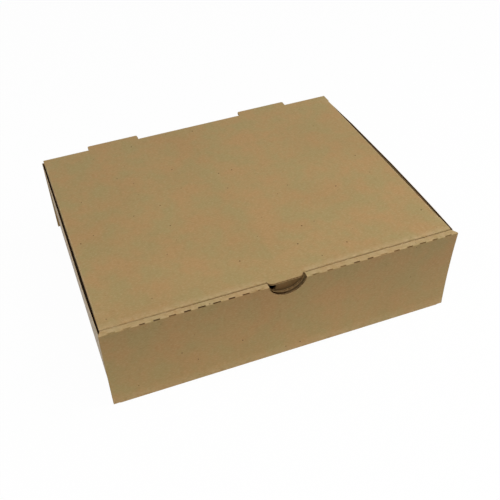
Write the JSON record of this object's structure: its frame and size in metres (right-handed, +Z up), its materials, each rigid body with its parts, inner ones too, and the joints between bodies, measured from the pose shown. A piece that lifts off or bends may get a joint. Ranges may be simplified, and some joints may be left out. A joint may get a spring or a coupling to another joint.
{
  "type": "food box",
  "caption": "Flat corrugated board food box with a double front wall, perforated roll-over and thumb notch, and a hinged lid with a tuck flap, side ears and rear tabs.",
  "frame": {"origin": "middle of the tray's underside", "axes": "+X to the right along the front wall, +Y towards the hinged rear, +Z up"},
  "size_m": [0.305, 0.2522, 0.083],
  "materials": {
    "kraft_board": "matt"
  },
  "bodies": {
    "tray": {"tray": "kraft_board"},
    "lid": {"lid": "kraft_board"}
  },
  "joints": [
    {"name": "lid_hinge", "type": "hinge", "parent": "tray", "child": "lid", "pos_m": [0, 0.123, 0.083], "axis": [-1, 0, 0], "range_deg": [0, 180]}
  ]
}
